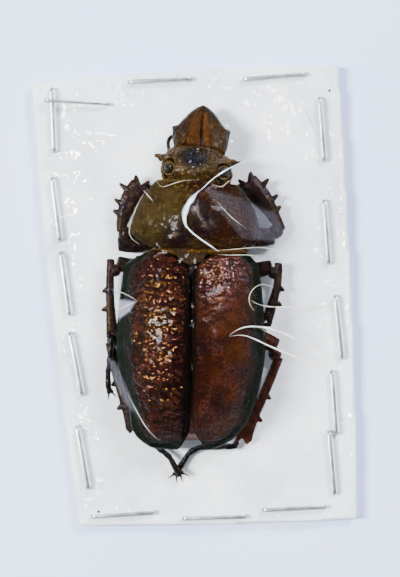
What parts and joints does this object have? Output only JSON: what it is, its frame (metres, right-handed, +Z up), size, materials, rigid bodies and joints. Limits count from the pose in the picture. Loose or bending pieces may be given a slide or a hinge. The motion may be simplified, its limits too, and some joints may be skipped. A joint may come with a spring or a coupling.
{
  "type": "mounted stag beetle specimen",
  "caption": "Dried stag beetle with closed short jaws, lying head up under clear creased film that is stapled to a white card.",
  "frame": {"origin": "middle of the card's underside", "axes": "+Y from the tail to the jaws along the card, +Z up out of the card, +X to the beetle's right"},
  "size_m": [0.043, 0.0606, 0.0143],
  "materials": {
    "card": "matt, slightly fibrous white card",
    "staple": "bright zinc-coated wire",
    "film": "clear, glossy, creased film",
    "pronotum": "punctate, golden olive-brown gloss",
    "scutellum": "dark brown gloss",
    "head": "punctate, dark golden brown",
    "jaw": "dark red-brown gloss",
    "eye": "black gloss",
    "wing_case": "wrinkled, coppery red-brown gloss",
    "limb": "dark brown, satin",
    "trunk": "dark brown, satin"
  },
  "bodies": {
    "root": {"card": "card", "film": "film", "pronotum": "pronotum", "scutellum": "scutellum", "head": "head", "thorax": "trunk", "abdomen": "trunk", "staple_top_left": "staple", "staple_top_right": "staple", "staple_corner_over": "staple", "staple_corner_under": "staple", "staple_left_1": "staple", "staple_left_2": "staple", "staple_left_3": "staple", "staple_left_4": "staple", "staple_bottom_left": "staple", "staple_bottom_middle": "staple", "staple_bottom_right": "staple", "staple_right_1": "staple", "staple_right_2": "staple", "staple_right_3": "staple", "staple_right_4": "staple", "staple_right_5": "staple", "elytron_left": "wing_case", "mandible_left": "jaw", "eye_left": "eye", "antenna_left": "limb", "palp_left": "limb", "elytron_right": "wing_case", "mandible_right": "jaw", "eye_right": "eye", "antenna_right": "limb", "palp_right": "limb", "femur_fore_left": "limb", "tibia_fore_left": "limb", "tarsus_fore_left": "limb", "femur_fore_right": "limb", "tibia_fore_right": "limb", "tarsus_fore_right": "limb", "femur_mid_left": "limb", "tibia_mid_left": "limb", "tarsus_mid_left": "limb", "femur_mid_right": "limb", "tibia_mid_right": "limb", "tarsus_mid_right": "limb", "femur_hind_left": "limb", "tibia_hind_left": "limb", "tarsus_hind_left": "limb", "femur_hind_right": "limb", "tibia_hind_right": "limb", "tarsus_hind_right": "limb"}
  },
  "joints": []
}
